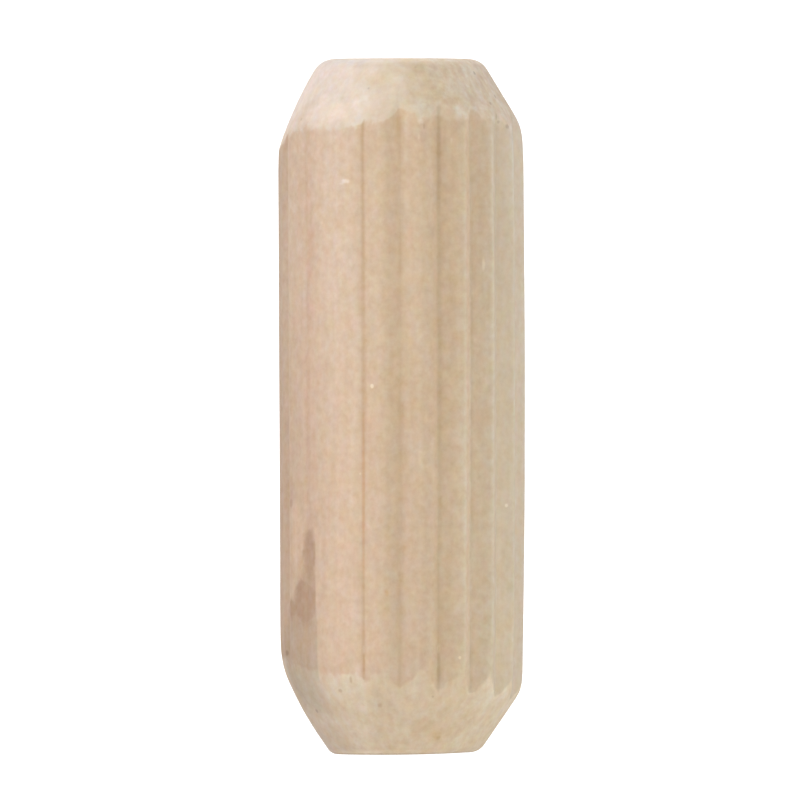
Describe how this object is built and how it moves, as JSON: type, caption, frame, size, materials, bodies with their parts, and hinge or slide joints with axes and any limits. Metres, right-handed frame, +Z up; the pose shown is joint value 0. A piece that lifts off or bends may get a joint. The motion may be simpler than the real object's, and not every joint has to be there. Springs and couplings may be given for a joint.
{
  "type": "dowel pin",
  "caption": "Straight hardwood dowel pin with V flutes along its wall and a blunt turned point at each end, glued into drilled holes to join two pieces of wood.",
  "frame": {"origin": "where the bar's axis meets the bottom end face", "axes": "+Z up along the bar's axis to the top end, +X towards the side with the deeper flutes, -Y towards the side that shows a flute edge on"},
  "size_m": [0.0112, 0.0112, 0.0317],
  "materials": {
    "hardwood": "bare, unfinished hardwood with fine lengthwise grain"
  },
  "bodies": {
    "root": {"dowel_pin": "hardwood"}
  },
  "joints": []
}
